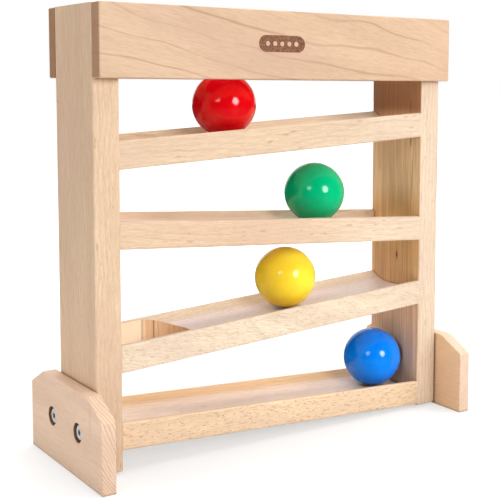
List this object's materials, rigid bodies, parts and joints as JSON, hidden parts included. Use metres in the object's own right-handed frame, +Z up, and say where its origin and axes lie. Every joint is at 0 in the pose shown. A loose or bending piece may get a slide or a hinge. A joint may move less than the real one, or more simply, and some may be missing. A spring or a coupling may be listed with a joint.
{
  "type": "marble run",
  "caption": "Freestanding beech ball tracker: side posts on screwed feet, zigzag grooved ramps with drop holes at their low ends, a slotted top and coloured balls.",
  "frame": {"origin": "on the floor, midway between the feet and midway front to back", "axes": "+X to the right seen from the marked front, +Y to the back, +Z up; the marked rail faces -Y"},
  "size_m": [0.3392, 0.1314, 0.336],
  "materials": {
    "left_post": "sanded, clear oiled beech",
    "right_post": "sanded, clear oiled beech",
    "front_top_rail": "sanded, clear oiled beech",
    "back_top_rail": "sanded, clear oiled beech",
    "top_ramp": "sanded, clear oiled beech",
    "upper_ramp": "sanded, clear oiled beech",
    "lower_ramp": "sanded, clear oiled beech",
    "bottom_ramp": "sanded, clear oiled beech",
    "left_foot": "sanded, clear oiled beech",
    "right_foot": "sanded, clear oiled beech",
    "left_foot_screws": "zinc plated",
    "right_foot_screws": "zinc plated",
    "left_foot_inserts": "zinc plated",
    "right_foot_inserts": "zinc plated",
    "top_ramp_dowels": "plain beech dowel",
    "upper_ramp_dowels": "plain beech dowel",
    "lower_ramp_dowels": "plain beech dowel",
    "bottom_ramp_dowels": "plain beech dowel",
    "front_rail_dowels": "plain beech dowel",
    "back_rail_dowels": "plain beech dowel",
    "red_ball": "gloss lacquer",
    "green_ball": "gloss lacquer",
    "yellow_ball": "gloss lacquer",
    "blue_ball": "gloss lacquer"
  },
  "bodies": {
    "frame": {"left_post": "left_post", "right_post": "right_post", "front_top_rail": "front_top_rail", "back_top_rail": "back_top_rail", "top_ramp": "top_ramp", "upper_ramp": "upper_ramp", "lower_ramp": "lower_ramp", "bottom_ramp": "bottom_ramp", "left_foot": "left_foot", "right_foot": "right_foot", "left_foot_screws": "left_foot_screws", "right_foot_screws": "right_foot_screws", "left_foot_inserts": "left_foot_inserts", "right_foot_inserts": "right_foot_inserts", "top_ramp_dowels": "top_ramp_dowels", "upper_ramp_dowels": "upper_ramp_dowels", "lower_ramp_dowels": "lower_ramp_dowels", "bottom_ramp_dowels": "bottom_ramp_dowels", "front_rail_dowels": "front_rail_dowels", "back_rail_dowels": "back_rail_dowels"},
    "red_ball": {"red_ball": "red_ball"},
    "green_ball": {"green_ball": "green_ball"},
    "yellow_ball": {"yellow_ball": "yellow_ball"},
    "blue_ball": {"blue_ball": "blue_ball"}
  },
  "joints": [
    {"name": "red_ball_roll", "type": "slide", "parent": "frame", "child": "red_ball", "axis": [-0.9982, 0, -0.0604], "range_m": [-0.14897, 0.03386]},
    {"name": "green_ball_roll", "type": "slide", "parent": "frame", "child": "green_ball", "axis": [0.9985, 0, -0.0547], "range_m": [-0.16515, 0.01763]},
    {"name": "yellow_ball_roll", "type": "slide", "parent": "frame", "child": "yellow_ball", "axis": [-0.9979, 0, -0.0654], "range_m": [-0.0913, 0.0916]},
    {"name": "blue_ball_roll", "type": "slide", "parent": "frame", "child": "blue_ball", "axis": [0.9987, 0, -0.0511], "range_m": [-0.2273, 0]}
  ]
}
